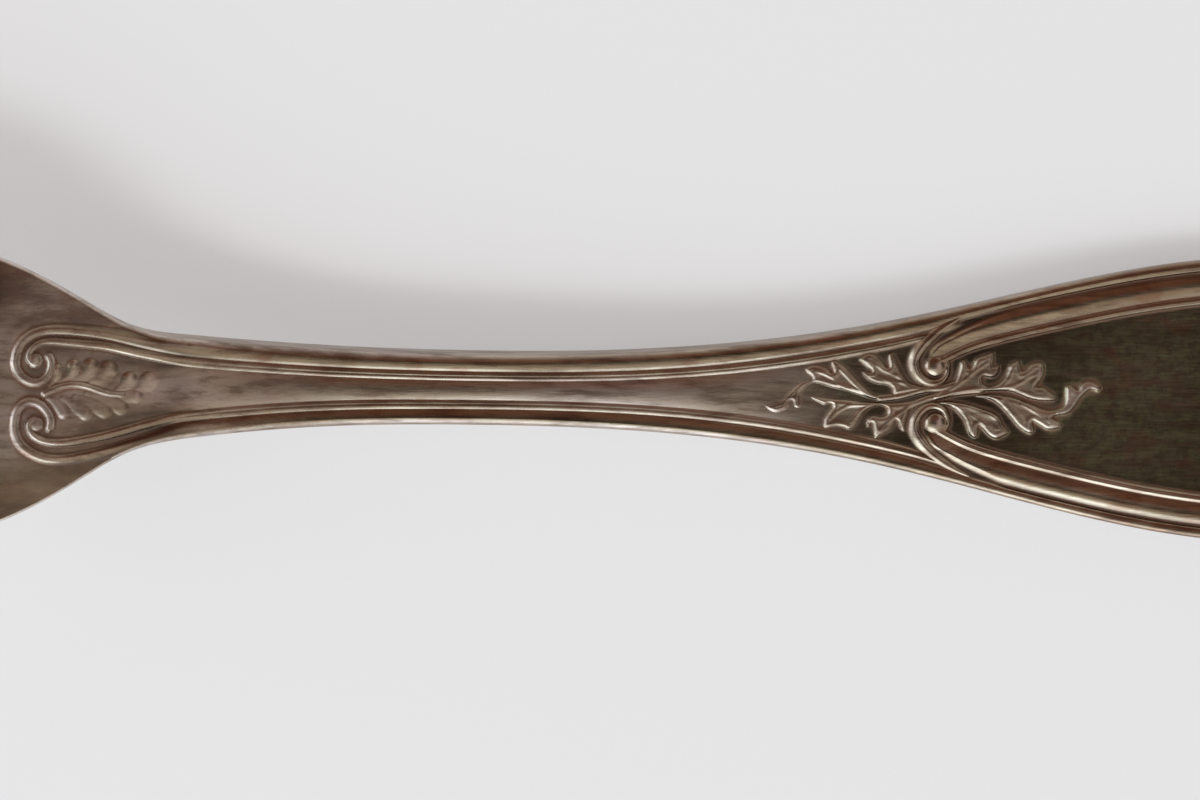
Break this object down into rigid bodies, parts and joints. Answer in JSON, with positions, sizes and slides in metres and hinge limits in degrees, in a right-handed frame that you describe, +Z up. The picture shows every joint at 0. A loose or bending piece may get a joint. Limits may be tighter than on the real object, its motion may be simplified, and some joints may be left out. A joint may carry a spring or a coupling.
{
  "type": "table fork",
  "caption": "Table fork with curved tines, a waisted shank and a broad rounded handle, its back struck with a reeded border, volutes and leaf sprays.",
  "frame": {"origin": "middle of the fork's length and width, on the surface it lies on", "axes": "+X along the fork towards the end of the handle, +Y across it, +Z up out of the fork's back, which lies face down"},
  "size_m": [0.19, 0.0254, 0.0134],
  "materials": {
    "silver_plate": "tarnished silver plate, brown-grey in the hollows and brighter on the worn crests",
    "bright_plate": "silver plate rubbed brighter by use, with fine scratches along the tines"
  },
  "bodies": {
    "root": {"tine_1": "bright_plate", "tine_2": "bright_plate", "tine_3": "bright_plate", "tine_4": "bright_plate", "root": "silver_plate", "shank": "silver_plate", "handle": "silver_plate"}
  },
  "joints": []
}
